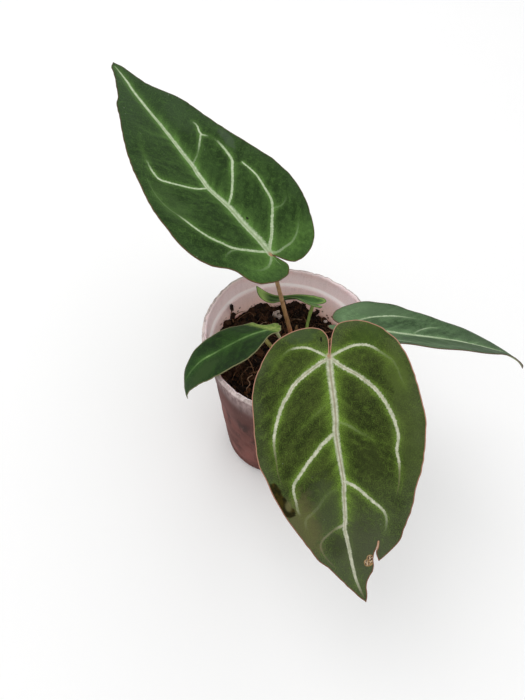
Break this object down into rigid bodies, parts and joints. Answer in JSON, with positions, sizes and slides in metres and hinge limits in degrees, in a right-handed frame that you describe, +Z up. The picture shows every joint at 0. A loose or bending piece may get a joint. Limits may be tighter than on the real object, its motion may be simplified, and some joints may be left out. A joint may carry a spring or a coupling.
{
  "type": "potted velvet-leaf anthurium",
  "caption": "Young velvet-leaf aroid with heart-shaped pale-veined leaves on slim stalks, growing in bark mix in a frosted plastic cup.",
  "frame": {"origin": "centre of the cup's flat base, on the surface that it stands on", "axes": "+Z up along the cup's axis, -Y towards the front leaf"},
  "size_m": [0.246, 0.2542, 0.173],
  "materials": {
    "frosted_plastic": "translucent frosted, pinkish grey",
    "bark_mix": "rough dark bark and coco chips",
    "crown_stem": "matte fibrous",
    "tan_stalk": "smooth satin",
    "green_stalk": "smooth satin",
    "old_stalk": "dry satin",
    "mature_leaf": "velvety, pale veins, pinkish edge",
    "young_leaf": "soft satin, pale veins"
  },
  "bodies": {
    "root": {"cup": "frosted_plastic", "potting_mix": "bark_mix", "crown": "crown_stem", "stalk_rear_left": "tan_stalk", "stalk_front": "tan_stalk", "stalk_right": "tan_stalk", "stalk_left": "green_stalk", "stalk_inner": "green_stalk", "old_stalk": "old_stalk", "leaf_rear_left": "mature_leaf", "leaf_front": "mature_leaf", "leaf_right": "mature_leaf", "leaf_left": "young_leaf", "leaf_inner": "young_leaf"}
  },
  "joints": []
}
